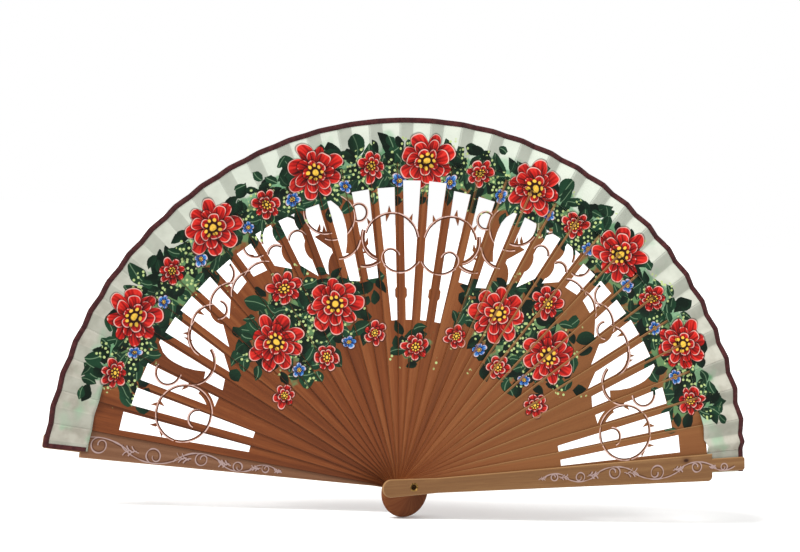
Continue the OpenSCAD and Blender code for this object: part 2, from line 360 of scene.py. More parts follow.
@dataclass(frozen=True)
class Finish:
    """What a surface is: its name, its colours by tone, and its relief (strength and mm)."""

    name: str
    colours: tuple[str, ...]
    tones: tuple[float, ...]
    relief: Pair
    roughness: float = 0.5
    gloss: float = 0.5
    sheen: float = 0.0
    metallic: float = 0.0

    def start(self, ending: str = "") -> tuple[Material, Node]:
        """Make a material of this name with a shader that has the finish's constants."""
        return new_material(
            self.name + ending,
            Metallic=self.metallic,
            Roughness=self.roughness,
            Specular_IOR_Level=self.gloss,
            Sheen_Weight=self.sheen,
        )

    def coat(self, tree: NodeTree, tone: Signal) -> Coat:
        """Return the bare surface, coloured by a tone from 0 to 1."""
        stops = list(zip(self.tones, self.colours))
        return Coat(tree, add_node(tree, "ShaderNodeValToRGB", {0: tone}, stops).outputs[0])

    def dress(self, shader: Node, coat: Coat, height: Signal, **sources: Signal) -> None:
        """Give a shader a coat, the relief of a height, and Signals for other inputs."""
        tree = shader.id_data
        strength, deep = self.relief
        bump = {"Strength": strength, "Distance": deep * MM, "Height": height}
        normal = add_node(tree, "ShaderNodeBump", bump).outputs[0]
        tree.links.new(coat.colour, shader.inputs["Base Color"])
        tree.links.new(normal, shader.inputs["Normal"])
        for name, source in sources.items():
            tree.links.new(source.socket, shader.inputs[name])


@dataclass(frozen=True)
class WoodFinish(Finish):
    """Sanded and waxed pear wood: warm brown, fine straight grain, a soft low gloss."""

    tones: tuple[float, ...] = (0.28, 0.5, 0.74)
    relief: Pair = (0.25, 0.05)
    # the next colour is painted shade along the sticks' left edges, and also the heart of the
    # guard's knot
    edge: str = "#30180c"
    # the next colour is a painted highlight on the edges of sticks and guards, which also stands
    # for wear
    rubbed: str = "#96744e"
    tan: str = "#6f4a2a"
    grain_mm: float = 1.1
    figure_mm: float = 70.0
    figure_grains: float = 3.2
    figure_share: float = 0.75
    pore_grains: float = 0.45
    pores_per_figure: float = 4.0
    apart_mm: float = 31.0  # how far apart in the log two sticks are cut
    roughness: float = 0.48
    uneven: float = 0.12
    gloss: float = 0.12

    def bare(
        self, canvas: Canvas, s: Signal, t: Signal, seed: Number, shift: Number
    ) -> tuple[Coat, Signal]:
        """Lay the wood's own colour.

        Args:
            canvas: the fan's face.
            s: millimetres along the grain.
            t: millimetres across it.
            seed: number of the stick, so that no two are alike.
            shift: how much lighter than usual the wood is.

        Returns:
            The coat of bare wood, and the grain from 0 to 1 for the bump.
        """
        stretch = self.grain_mm / self.figure_mm
        lift = seed * self.apart_mm
        place = canvas.spot(s * stretch, t, lift)
        figure = canvas.mottle(self.figure_grains * self.grain_mm, 3.0, place)
        place = canvas.spot(s * (self.pores_per_figure * stretch), t, lift)
        pores = canvas.mottle(self.pore_grains * self.grain_mm, 2.0, place)
        tone = figure * self.figure_share + pores * (1 - self.figure_share) + shift
        return self.coat(canvas.tree, tone), pores

    def finish(self, shader: Node, coat: Coat, pores: Signal) -> None:
        """Give a shader the wood's colour, gloss and open grain."""
        rough = pores * self.uneven + (self.roughness - self.uneven / 2)
        self.dress(shader, coat, pores, Roughness=rough)


class Palette(Enum):
    """Petal colours from the heart of a flower to the tips."""

    RED = ("#0c0101", "#340404", "#720d0a", "#9c130e", "#b6261d")
    BLUE = ("#081430", "#16306a", "#285894", "#3a74b0", "#7ca6cc")


@dataclass(frozen=True)
class PaintFinish:
    """Hand-brushed craft paint: opaque strokes shaded from dark to light, with pale outlines."""

    outline: str = "#c8a89e"
    shadow: str = "#220806"
    leaf_dark: str = "#05120a"
    leaf_light: str = "#153622"
    vein: str = "#6c8868"
    wash: str = "#467a50"
    gold: str = "#d0a63c"
    sprig: str = "#9cac70"
    wobble_mm: float = 5.0
    wobble_size_mm: float = 15.0


@dataclass(frozen=True)
class FlowerRing:
    """Flowers at even steps along an arc round the rivet (millimetres and bars)."""

    radius: float
    period: float
    phase: float
    nearest: float
    farthest: float
    flower: float
    whorls: tuple[tuple[int, float], ...]
    seed: float
    palette: Palette = Palette.RED
    sway: float = 4.0


class ScrollSize(Enum):
    """Radius of a cut scroll, as a share of the space between two bars."""

    CURL = 0.335
    HALF = 0.47
    WIDE = 0.845
    GREAT = 1.07


CURL, HALF, WIDE, GREAT = ScrollSize


@dataclass(frozen=True)
class ScrollArc:
    """One scroll right of the middle: bars from it, spaces from the windows' ends, and angles."""

    bar: float
    deep: float
    size: ScrollSize
    start: float
    end: float


@dataclass(frozen=True)
class FineBrush:
    """A fine brush that draws an arc twice: a light line outside it and a dark one inside."""

    aside_mm: float = 0.4
    width_mm: float = 0.7
    light: float = 0.9
    dark: float = 0.8
    pale: str = "#c8a89e"
    shadow: str = "#220806"
    uneven_mm: float = 5.0
    soft_mm: float = 0.2

    @staticmethod
    def draw_arc(
        up: Signal,
        aside: Signal,
        middle_up: Signal,
        middle_aside: Signal,
        radius: Signal,
        aim: Signal,
        spread: Signal,
    ) -> tuple[Signal]:
        """Draw the distance outwards from an arc round a middle point, made large past its ends.

        Args:
            up: millimetres above the rivet.
            aside: millimetres to the right of it.
            middle_up: the same as up, for the arc's middle point.
            middle_aside: the same as aside, for the arc's middle point.
            radius: the arc's radius.
            aim: angle from the middle point to the arc's own middle, from upwards to the right.
            spread: half of the angle that the arc covers.

        Returns:
            Millimetres from the arc, less than 0 on its inner side.
        """
        off_up, off_aside = up - middle_up, aside - middle_aside
        rho = off_up.hypot(off_aside)
        towards = off_up * aim.to("COSINE") + off_aside * aim.to("SINE")
        beyond = (rho * spread.to("COSINE")).to("GREATER_THAN", towards)
        return (beyond.to("MULTIPLY_ADD", FAR_MM, rho) - radius,)

    def lay(
        self, canvas: Canvas, coat: Coat, place: tuple[Signal, Signal], arcs: list[Arc]
    ) -> None:
        """Paint both lines along every arc on the front.

        Args:
            canvas: the fan's face.
            coat: the colour so far.
            place: millimetres up and aside, as the arcs count them.
            arcs: the arcs, in millimetres and radians.
        """
        stencil = Stencil("brush_arc", self.draw_arc)
        light = dark = None
        for arc in arcs:
            (side,) = stencil.stamp(canvas.tree, *place, *arc)
            outer, inner = abs(side - self.aside_mm), abs(side + self.aside_mm)
            light = light.to("MINIMUM", outer) if light else outer
            dark = dark.to("MINIMUM", inner) if dark else inner
        width = canvas.mottle(self.uneven_mm, 1.0) * self.width_mm
        lines = ((dark, self.dark, self.shadow), (light, self.light, self.pale))
        for near, strength, paint in lines:
            coat.lay((width - near).cover(0.0, self.soft_mm) * canvas.front * strength, paint)


@dataclass(frozen=True)
class ScrollLines:
    """The painted outlines that follow the cut scrolls and run on over the bars."""

    brush: FineBrush = FineBrush()
    window_out: float = 166.0
    arcs: tuple[ScrollArc, ...] = tuple(
        ScrollArc(*row)
        for row in (
            (1, 2.074, WIDE, 122, 232),
            (1.5, 2.335, CURL, 222, 440),
            (1.4, 1.704, GREAT, -70, 86),
            (1.75, 1.543, WIDE, 203, 296),
            (2.6, 1.71, WIDE, 150, 205),
            (2.7, 0.451, CURL, -32, 215),
            (3.75, 1.169, WIDE, 115, 195),
            (3.8, 0.4, WIDE, 0, 215),
            (4, 0.1, WIDE, 180, 300),
            (4.55, -0.33, CURL, -60, 200),
            (5.95, 0.403, WIDE, -80, 78),
            (5.45, 0.712, CURL, -75, 85),
            (6.5, 0.831, CURL, -65, 65),
            (7.05, 0.1, HALF, 175, 285),
            (7.6, 1.555, WIDE, -33, 45),
            (8.25, 1.555, WIDE, -60, 30),
            (8.75, 0.2, HALF, 80, 200),
            (9.3, 1.343, WIDE, -58, 45),
            (9.85, 1.085, CURL, 60, 230),
            (10.55, 1.369, WIDE, -45, 50),
            (10.9, 1.51, WIDE, -95, 5),
            (12.3, 1.497, WIDE, 115, 250),
            (13.15, 0.831, HALF, 165, 375),
            (14.55, 2.013, GREAT, -88, 268),
            (14.6, 2.576, CURL, -80, 85),
        )
    )

    def lay(self, canvas: Canvas, coat: Coat) -> None:
        """Paint the outlines of every scroll, the left half as a mirror of the right."""
        pitch = canvas.layout.pitch
        space = self.window_out * math.sin(pitch)
        lines = []
        for arc in self.arcs:
            turn = arc.bar * pitch
            reach = self.window_out - arc.deep * space
            middle = (reach * math.cos(turn), reach * math.sin(turn))
            aim = turn - math.radians(arc.start + arc.end) / 2
            spread = math.radians(arc.end - arc.start) / 2
            lines.append((*middle, arc.size.value * space, aim, spread))
        self.brush.lay(canvas, coat, (canvas.z, abs(canvas.x)), lines)


@dataclass(frozen=True)
class GuardVine:
    """A running scroll along a guard: bends with a volute in each, and feathers between them."""

    start: float
    bends: tuple[float, ...]
    across: Pair
    side: float = 1.0
    rise: float = 0.15
    volute: float = 0.12
    usual_mm: float = 24.0  # length of the bend that the feathers' sizes are for
    feather_mm: float = 3.3
    feathers: tuple[Pair, ...] = ((-5.2, 1.0), (-3.0, 1.0), (-0.8, 1.0), (-4.2, -1.0), (-1.8, -1.0))
    feather_deg: Pair = (-55.0, 35.0)
    volute_deg: Pair = (-55.0, 145.0)
    inner_deg: Pair = (70.0, 90.0)
    inner_at_deg: float = 160.0
    brush: FineBrush = FineBrush(0.38, 0.8, 0.75, 0.6, "#9c8886", "#3a1c14")

    def arcs(self) -> list[Arc]:
        """Return every arc of the vine, along and across the guard."""
        found = []
        reach, side, usual = self.start, self.side, self.usual_mm
        aim, spread = (math.radians(angle) for angle in self.feather_deg)
        for length in self.bends:
            found += self._bend(reach + length / 2, length, side)
            for back, way in self.feathers:
                turn = side * way
                place = (reach + back * length / usual, turn * self.feather_mm * length / usual)
                found.append((*place, self.feather_mm * length / usual, aim * turn, spread))
            reach, side = reach + length, -side
        return found

    def _bend(self, middle: float, length: float, side: float) -> list[Arc]:
        """Return one bend of the stem and the volute that rolls up inside it."""
        high, small = self.rise * length, self.volute * length
        radius = (length * length / 4 + high * high) / (2 * high)
        half = math.asin(length / 2 / radius)
        stem = (middle, side * (high - radius), radius, math.pi / 2 * side, half)
        centre = side * (high - small)
        aim, spread = (math.radians(angle) for angle in self.volute_deg)
        roll = (middle, centre, small, aim * side, spread)
        turn = math.radians(self.inner_at_deg)
        along, across = small / 2 * math.cos(turn), small / 2 * math.sin(turn)
        aim, spread = (math.radians(angle) for angle in self.inner_deg)
        inner = (middle + along, centre + side * across, small / 2, aim * side, spread)
        return [stem, roll, inner]

    def lay(self, canvas: Canvas, coat: Coat, s: Signal, t: Signal) -> None:
        """Paint the vine on a guard, whose place along and across is given."""
        low, high = self.across
        slope = (high - low) / sum(self.bends)
        self.brush.lay(canvas, coat, (s, t - (s - self.start) * slope - low), self.arcs())


@dataclass(frozen=True)
class PetalStroke:
    """A whorl of petals, dark at the heart, light at the tips and lighter along one side."""

    notch: Pair = (2.6, 0.36)  # sharpness and depth of the gap between two petals
    length: Pair = (0.2, 0.86)  # spread and least share of the whorl's radius
    hollow: Pair = (3.0, 0.34)  # sharpness and darkness of the gaps
    lit_side: float = 0.12
    streaks: float = 0.5
    uneven: float = 0.2
    luck_steps: Pair = (3.17, 7.0)  # what sets petals, and flowers, apart
    hair_steps: tuple[float, ...] = (0.9, 20.0, 0.03)  # across, from petal to petal, outwards
    line_mm: float = 0.4  # how far inside the petal its outline runs
    line_edge: Pair = (0.42, 0.16)
    line_breaks: Pair = (0.45, 0.65)
    line_skips: float = 0.6
    line_gaps: Pair = (1.0, 0.6)
    line: float = 0.75

    def draw(
        self, rho: Signal, phi: Signal, petals: Signal, size: Signal, seed: Signal
    ) -> tuple[Signal, ...]:
        """Draw one whorl.

        Args:
            rho: millimetres from the flower's middle.
            phi: angle round it.
            petals: how many petals there are.
            size: the whorl's radius.
            seed: number that sets this flower apart.

        Returns:
            How far inside the petals a point is, its tone from 0 to 1, and the pale outline.
        """
        turn = phi * petals / (2 * math.pi)
        index = turn.to("FLOOR")
        side = (turn - index) * 2.0 - 1.0
        gap = abs(side)
        by_petal, by_flower = self.luck_steps
        luck = (index.to("FLOORED_MODULO", petals) * by_petal + seed * by_flower).luck()
        sharp, deep = self.notch
        spread, least = self.length
        edge = (1.0 - gap**sharp * deep) * (luck * spread + least) * size
        inside = edge - rho
        aside, apart, outward = self.hair_steps
        brush = (side * aside + luck * apart + rho * outward).hairs()
        sharp, dark = self.hollow
        tone = rho / edge - gap**sharp * dark + side * self.lit_side
        tone = tone + (brush - 0.5) * self.streaks + (luck - 0.5) * self.uneven
        broken = (luck + brush * self.line_skips).cover(*self.line_breaks)
        broken = broken * gap.cover(*self.line_gaps)
        return inside, tone, abs(inside - self.line_mm).cover(*self.line_edge) * broken * self.line


@dataclass(frozen=True)
class HeartDab:
    """The heart of a flower: a dark ground, and gold in its middle and in a ring of dots."""

    dots: int = 8
    ring: float = 1.45
    dot_edge: Pair = (0.42, 0.25)
    middle_edge: Pair = (0.75, 0.5)
    ground_edge: Fade = (1.9, 1.2, 0.85)

    def draw(self, rho: Signal, phi: Signal, small: Signal) -> tuple[Signal, ...]:
        """Draw where the dark ground and the gold lie, in a heart of a small radius."""
        share = rho / small
        dot = (share - self.ring).hypot(share * phi.to("PINGPONG", math.pi / self.dots))
        gold = dot.cover(*self.dot_edge).to("MAXIMUM", share.cover(*self.middle_edge))
        return share.cover(*self.ground_edge), gold


class PaintedFace:
    """The painting on sticks and leaf: garlands of scattered leaves with rings of rosettes."""

    BUD = ((5, 1.0),)
    SMALL = ((7, 1.0), (6, 0.6))
    LARGE = ((8, 1.0), (7, 0.74), (5, 0.46))
    RINGS = (
        FlowerRing(176.0, 2.0, 1.0, 0.5, 15.0, 4.2, BUD, 16.0, Palette.BLUE, 3.0),
        FlowerRing(90.0, 4.0, 5.0, 4.0, 10.0, 4.4, BUD, 17.0, Palette.BLUE, 4.0),
        FlowerRing(88.0, 4.0, 3.0, 2.5, 12.0, 7.4, ((6, 1.0), (5, 0.58)), 12.0),
        FlowerRing(135.0, 20.0, 7.0, 6.5, 7.5, 10.6, ((7, 1.0), (6, 0.62)), 15.0, sway=1.0),
        FlowerRing(112.0, 4.0, 5.0, 4.5, 9.5, 17.0, LARGE, 11.0, sway=2.0),
        FlowerRing(79.0, 40.0, 0.0, -1.0, 1.0, 8.8, SMALL, 18.0, sway=1.0),
        FlowerRing(184.0, 4.0, 2.0, 1.0, 15.0, 8.8, SMALL, 14.0, sway=6.0),
        FlowerRing(187.0, 4.0, 0.0, -1.0, 13.0, 17.0, LARGE, 13.0, sway=2.0),
    )
    GARLAND_R = 181.0
    GARLAND_HALF = 22.5
    GARLAND_END = 15.1
    GARLAND_FADE = 1.5
    CLUSTER = (7.0, 110.0, 5.6, 37.0)  # middle and half size, both in bars and millimetres
    POSY = (0.0, 80.0, 2.6, 15.0)
    HAIR_MM = 1.2
    WASH_MM, WASH_NEAR, WASH_EDGE = 16.0, 0.7, (0.8, 0.9)
    LEAVES = ((13.0, 0.0), (10.0, 40.0), (7.5, 80.0))  # spacing and shift of each layer
    LEAF_SCATTER, LEAF_PICK, LEAF_SHOWN = 0.85, 0.4, 0.45
    LEAF_LONG, LEAF_WIDE, LEAF_POINT = 0.6, 0.34, 0.3  # shares of the spacing
    LEAF_FRAY, LEAF_SOFT = 0.7, 0.3
    LEAF_TONES = (0.7, 0.55, 0.3)  # by leaf, across it and by brush hair
    LEAF_STOPS = (0.25, 0.95)
    VEIN_BEND, VEIN_ASIDE, VEIN_EDGE = 0.9, 0.3, (0.34, 0.1)
    VEIN_INSIDE, VEIN_LEAVES, VEIN = (0.5, 0.9), (0.45, 0.7), 0.6
    DOT_MM, DOT_SCATTER, DOT_EDGE = 2.9, 0.7, (0.3, 0.22)
    SPRIG_MM, SPRIG_SHIFT, SPRIG_NEAR, SPRIG_EDGE = 9.0, 60.0, 0.3, (0.71, 0.75)
    FLOWER_TURN, WHORL_TURN, WHORL_SEED = 6.0, 0.7, 100
    PETAL_STOPS = (0.16, 0.4, 0.62, 0.86, 1.0)
    PETAL_SHADE, PETAL_SHADE_MM, PETAL_SOFT_MM = 0.75, 1.0, 0.25
    HEART = 0.17

    def __init__(self, canvas: Canvas, finish: PaintFinish) -> None:
        """Make the hand-wobbled place that the motifs share.

        Args:
            canvas: the fan's face.
            finish: the colours.
        """
        self.canvas = canvas
        self.finish = finish
        self.tree = canvas.tree
        drift = {"Vector": canvas.flat, "Scale": 1 / finish.wobble_size_mm, "Detail": 1.0}
        colour = add_node(self.tree, "ShaderNodeTexNoise", drift).outputs[1]
        sway = add_node(self.tree, "ShaderNodeSeparateColor", {0: colour}).outputs
        self.x = canvas.x + (Signal(sway[0]) - 0.5) * finish.wobble_mm
        self.z = canvas.z + (Signal(sway[1]) - 0.5) * finish.wobble_mm
        self.radius, self.bar = canvas.polar(self.x, self.z)
        self.hairs = canvas.mottle(self.HAIR_MM, 2.0)
        self.petal = Stencil("petals", PetalStroke().draw)
        self.heart = Stencil("heart", HeartDab().draw)

    def lay(self, coat: Coat) -> None:
        """Paint a surface, from the green ground to the hearts of the flowers."""
        blooms = Decal(self.tree, self.finish.shadow)
        for ring in self.RINGS:
            self._flowers(blooms, ring)
        near = self.garland(self.x, self.z)
        self._wash(coat, near)
        for size, seed in self.LEAVES:
            self._foliage(coat, size, seed)
        self._sprigs(coat, near)
        coat.lay(blooms.covered * self.canvas.front, blooms.colour)

    def garland(self, x: Signal, z: Signal) -> Signal:
        """Return 1 along the middle of a garland, 0 at its border and less outside it."""
        radius, bar = self.canvas.polar(x, z)
        side = abs(bar)
        band = 1.0 - abs(radius - self.GARLAND_R) / self.GARLAND_HALF
        best = band.to("MINIMUM", (self.GARLAND_END - side) / self.GARLAND_FADE)
        for bars, reach, half_bars, half_reach in (self.CLUSTER, self.POSY):
            off = ((side - bars) / half_bars).hypot((radius - reach) / half_reach)
            best = best.to("MAXIMUM", 1.0 - off)
        return best

    def _wash(self, coat: Coat, near: Signal) -> None:
        """Lay thin patches of green as the ground of the garlands."""
        patch = near * self.WASH_NEAR + self.canvas.mottle(self.WASH_MM, 3.0)
        patch = patch.cover(*self.WASH_EDGE) * self.canvas.front
        coat.lay(patch * (self.hairs * 0.5 + 0.5), self.finish.wash)

    def _foliage(self, coat: Coat, size: float, seed: float) -> None:
        """Scatter pointed leaves over the garlands.

        Args:
            coat: the colour so far.
            size: millimetres from leaf to leaf.
            seed: how far the scatter is moved, so that two layers differ.
        """
        canvas, tree, finish = self.canvas, self.tree, self.finish
        shift = {0: canvas.spot(self.x, self.z), 1: (seed, seed, 0.0)}
        moved = add_node(tree, "ShaderNodeVectorMath", shift).outputs[0]
        cells = {"Vector": moved, "Scale": 1 / size, "Randomness": self.LEAF_SCATTER}
        found = add_node(tree, "ShaderNodeTexVoronoi", cells, voronoi_dimensions="2D").outputs
        parts = add_node(tree, "ShaderNodeSeparateXYZ", {0: found["Position"]}).outputs
        root_x, root_z = (Signal(part) - seed for part in parts[:2])
        parts = add_node(tree, "ShaderNodeSeparateColor", {0: found["Color"]}).outputs
        turn, pick, tint = (Signal(part) for part in parts)
        shown = self.garland(root_x, root_z) + pick * self.LEAF_PICK
        shown = shown.to("GREATER_THAN", self.LEAF_SHOWN) * canvas.front
        turn = turn * (2 * math.pi)
        cosine, sine = turn.to("COSINE"), turn.to("SINE")
        dx, dz = self.x - root_x, self.z - root_z
        along = (dx * cosine + dz * sine) / (self.LEAF_LONG * size)
        across = dz * cosine - dx * sine
        half = (1.0 - along * along) * (1.0 - along * self.LEAF_POINT) * (self.LEAF_WIDE * size)
        inside = half - abs(across) + (self.hairs - 0.5) * self.LEAF_FRAY
        by_leaf, by_side, by_hair = self.LEAF_TONES
        tone = tint * by_leaf + across * (by_side / size) + self.hairs * by_hair
        stops = list(zip(self.LEAF_STOPS, (finish.leaf_dark, finish.leaf_light)))
        green = add_node(tree, "ShaderNodeValToRGB", {0: tone}, stops).outputs[0]
        coat.lay(inside.cover(0.0, self.LEAF_SOFT) * shown, green)
        vein = abs(across + along * along * self.VEIN_BEND - self.VEIN_ASIDE)
        vein = vein.cover(*self.VEIN_EDGE) * inside.cover(*self.VEIN_INSIDE)
        coat.lay(vein * shown * tint.cover(*self.VEIN_LEAVES) * self.VEIN, finish.vein)

    def _sprigs(self, coat: Coat, near: Signal) -> None:
        """Dab light dots in loose clusters along the garlands."""
        canvas = self.canvas
        cells = {"Vector": canvas.flat, "Scale": 1 / self.DOT_MM, "Randomness": self.DOT_SCATTER}
        found = add_node(self.tree, "ShaderNodeTexVoronoi", cells, voronoi_dimensions="2D").outputs
        dots = Signal(found["Distance"]).cover(*self.DOT_EDGE)
        place = canvas.spot(canvas.z, canvas.x, self.SPRIG_SHIFT)
        loose = canvas.mottle(self.SPRIG_MM, 1.0, place)
        spread = (near * self.SPRIG_NEAR + loose).cover(*self.SPRIG_EDGE)
        coat.lay(dots * spread * canvas.front, self.finish.sprig)

    def _flowers(self, blooms: Decal, ring: FlowerRing) -> None:
        """Paint one ring of flowers.

        Args:
            blooms: the flowers so far.
            ring: where the flowers are and how they look.
        """
        finish = self.finish
        bar = abs(self.bar) if ring.nearest > 0 else self.bar
        cell = ((bar - ring.phase) / ring.period + 0.5).to("FLOOR")
        middle = cell * ring.period + ring.phase
        luck = (cell + ring.seed).luck()
        out = self.radius - ring.radius + (luck - 0.5) * ring.sway
        aside = (bar - middle) * self.radius * self.canvas.layout.pitch
        away = abs(middle)
        shown = away.to("LESS_THAN", ring.farthest) * away.to("GREATER_THAN", ring.nearest)
        rho, phi = out.hypot(aside), aside.to("ARCTAN2", out) + luck * self.FLOWER_TURN
        for number, (petals, share) in enumerate(ring.whorls):
            size, seed = share * ring.flower, cell + (ring.seed + self.WHORL_SEED * number)
            turned = phi + self.WHORL_TURN * number
            inside, tone, line = self.petal.stamp(self.tree, rho, turned, petals, size, seed)
            stops = list(zip(self.PETAL_STOPS, ring.palette.value))
            colour = add_node(self.tree, "ShaderNodeValToRGB", {0: tone}, stops).outputs[0]
            shade = inside.cover(-self.PETAL_SHADE_MM, 0.0) * shown * self.PETAL_SHADE
            blooms.lay(shade, finish.shadow)
            blooms.lay(inside.cover(0.0, self.PETAL_SOFT_MM) * shown, colour)
            blooms.lay(line * shown, finish.outline)
        dark, gold = self.heart.stamp(self.tree, rho, phi, self.HEART * ring.flower)
        blooms.lay(dark * shown, finish.shadow)
        blooms.lay(gold * shown, finish.gold)


def new_material(name: str, **values: object) -> tuple[Material, Node]:
    """Make a material with one shader.

    Args:
        name: what the material is.
        values: the shader's constant inputs, with _ for the spaces in their names.

    Returns:
        The material and its shader node.
    """
    material = bpy.data.materials.new(name)
    material.use_nodes = True
    tree = material.node_tree
    tree.nodes.clear()
    inputs = {key.replace("_", " "): value for key, value in values.items()}
    shader = add_node(tree, "ShaderNodeBsdfPrincipled", inputs)
    add_node(tree, "ShaderNodeOutputMaterial", {0: shader.outputs[0]})
    return material, shader


def new_piece(name: str, bm: BMesh, material: Material) -> Object:
    """Turn a finished bmesh into an object of the scene, at the origin.

    Args:
        name: the object's name.
        bm: its shape in metres; it is freed.
        material: its finish.

    Returns:
        The object.
    """
    mesh = bpy.data.meshes.new(name)
    bm.to_mesh(mesh)
    bm.free()
    mesh.materials.append(material)
    piece = bpy.data.objects.new(name, mesh)
    bpy.context.scene.collection.objects.link(piece)
    return piece


@dataclass
class StickSet:
    """The thirty-two pierced sticks, which keep their CAD shape and get painted wood."""

    layout: FanLayout
    wood: WoodFinish
    paint: PaintFinish
    lines: ScrollLines
    neck_r: float = 14.25
    neck_half: float = 4.3
    blade_r: float = 187.0
    blade_half: float = 9.1
    nudge: float = 0.05  # keeps a face from counting as its neighbour's
    uneven: float = 0.14  # spread of the sticks' tones
    drift: float = 0.16  # how much lighter the last stick is than the first
    tan_x: Fade = (-20.0, 110.0, 0.6)
    # painted shade along the left edges: where it fades in across the fan, from right to left
    dark_x: Pair = (25.0, -25.0)
    # the right half of the fan, where the edges get a painted highlight and a bare strip
    handled_x: Pair = (10.0, 60.0)
    head_r: Pair = (6.0, 16.0)
    edge_mm: Pair = (-0.6, -0.2)  # from the stick's edge, less than 0 on the stick
    worn_mm: Pair = (-1.5, -1.1)
    # strength of the painted shade on the left edges
    dark: float = 0.7
    worn: float = 0.8
    # strength of the painted highlight on the right edges, which also stands for wear
    rubbed: float = 0.45

    def material(self) -> Material:
        """Return the painted wood; every stick finds its own number by its depth in the stack."""
        layout = self.layout
        material, shader = self.wood.start()
        canvas = Canvas(material.node_tree, layout)
        depth = (canvas.y - layout.stick_back) / -layout.step
        number = (depth + (1 + self.nudge)).to("FLOOR")
        s, t = canvas.along(number * -layout.pitch + layout.first)
        lighter = (number.luck() - 0.5) * self.uneven + (number / layout.count - 0.5) * self.drift
        coat, pores = self.wood.bare(canvas, s, t, number, lighter)
        coat.lay(canvas.x.cover(*self.tan_x), self.wood.tan)
        self.lines.lay(canvas, coat)
        PaintedFace(canvas, self.paint).lay(coat)
        self._edges(canvas, coat, s, t)
        self.wood.finish(shader, coat, pores)
        return material

    def _edges(self, canvas: Canvas, coat: Coat, s: Signal, t: Signal) -> None:
        """Paint shade along the edges at the left; at the right paint a highlight on them and bare
        a strip by them.
        """
        slope = (self.blade_half - self.neck_half) / (self.blade_r - self.neck_r)
        inside = abs(t) - ((s - self.neck_r) * slope + self.neck_half)
        face = s.cover(*self.head_r) * canvas.front
        edge = inside.cover(*self.edge_mm) * face
        handled = canvas.x.cover(*self.handled_x)
        # painted shade along the left edges of the sticks on the left half
        coat.lay(edge * canvas.x.cover(*self.dark_x) * self.dark, self.wood.edge)
        coat.lay(inside.cover(*self.worn_mm) * face * handled * self.worn, self.wood.tan)
        # painted highlight along the edges on the right half, also standing for wear
        coat.lay(edge * handled * self.rubbed, self.wood.rubbed)

    def build(self) -> None:
        """Give every stick the painted wood."""
        material = self.material()
        for number in range(1, self.layout.count + 1):
            stick = frame["nodes"][self.layout.body(number)]
            stick.data.materials[0] = material
            LOG.info("%s: painted wood", stick.name)


@dataclass
class Guard:
    """One outer stick: a thick stave with rounded edges and a painted vine."""

    layout: FanLayout
    wood: WoodFinish
    node: str
    body: str
    place: float
    vine: GuardVine
    knot: Pair | None = None
    knot_long: float = 1.6
    knot_ring: Fade = (3.2, 1.0, 0.8)
    knot_heart: Pair = (1.5, 0.5)
    # the rounded edges get a painted highlight, which also stands for wear: how far a face turns
    # from the front, and strength
    rubbed_at: Fade = (0.99, 0.8, 0.6)
    seed: float = 3.0
    ease: float = 0.8
    seat_r: float = 4.5
    weld_mm: float = 0.002
    level_mm: float = 0.01
    flat_deg: float = 1.0
    rim_deg: float = 60.0

    def material(self) -> Material:
        """Return the guard's wood with its vine."""
        material, shader = self.wood.start(f"_{self.node}")
        canvas = Canvas(material.node_tree, self.layout)
        s, t = canvas.along(self.layout.bearing(self.place))
        coat, pores = self.wood.bare(canvas, s, t, self.seed + self.place, 0.0)
        # painted highlight on the rounded edges and sides, also standing for wear
        coat.lay(abs(canvas.facing).cover(*self.rubbed_at), self.wood.rubbed)
        if self.knot:
            far = ((s - self.knot[0]) / self.knot_long).hypot(t - self.knot[1])
            coat.lay(far.cover(*self.knot_ring), self.wood.colours[0])
            coat.lay(far.cover(*self.knot_heart), self.wood.edge)
        self.vine.lay(canvas, coat, s, t)
        self.wood.finish(shader, coat, pores)
        return material

    def build(self) -> None:
        """Round the edges of a copy of the guard, and let it stand for the guard."""
        bm = bmesh.new()
        bm.from_mesh(frame["nodes"][self.node].data)
        bmesh.ops.remove_doubles(bm, verts=bm.verts, dist=self.weld_mm * MM)
        flat = math.radians(self.flat_deg)
        bmesh.ops.dissolve_limit(bm, angle_limit=flat, verts=bm.verts, edges=bm.edges)
        rims = [e for e in bm.edges if self._is_rim(e)]
        bmesh.ops.bevel(
            bm,
            geom=rims,
            offset=self.ease * MM,
            offset_type="OFFSET",
            affect="EDGES",
            segments=3,
            profile=0.5,
            material=-1,
            clamp_overlap=True,
        )
        stave = new_piece(f"{self.node}_stave", bm, self.material())
        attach(stave, self.body)
        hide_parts(self.node)
        LOG.info("%s: rounded stave with a painted vine", stave.name)

    def _is_rim(self, edge: BMEdge) -> bool:
        """Tell whether an edge runs round a broad face, away from the rivet's seat."""
        level = abs(edge.verts[0].co.y - edge.verts[1].co.y) < self.level_mm * MM
        far = min(v.co.xz.length for v in edge.verts) > self.seat_r * MM
        if not (level and far and len(edge.link_faces) == 2):
            return False
        return edge.calc_face_angle() > math.radians(self.rim_deg)


@dataclass(frozen=True)
class BrassFinish(Finish):
    """Stamped brass, mottled at random from brown to bright, with an uneven polish."""

    name: str = "stamped_brass"
    colours: tuple[str, ...] = ("#2c1a0c", "#8c6c3a")
    tones: tuple[float, ...] = (0.3, 0.6)
    relief: Pair = (0.2, 0.03)
    roughness: float = 0.42
    metallic: float = 1.0
    polish: float = 0.2
    spot_mm: float = 0.7

    def material(self) -> Material:
        """Return the brass."""
        material, shader = self.start()
        tree = material.node_tree
        where = add_node(tree, "ShaderNodeTexCoord").outputs["Object"]
        inputs = {"Vector": where, "Scale": 1 / (self.spot_mm * MM), "Detail": 3.0}
        spots = Signal(add_node(tree, "ShaderNodeTexNoise", inputs).outputs[0])
        rough = spots * -self.polish + self.roughness
        self.dress(shader, self.coat(tree, spots), spots, Roughness=rough)
        return material


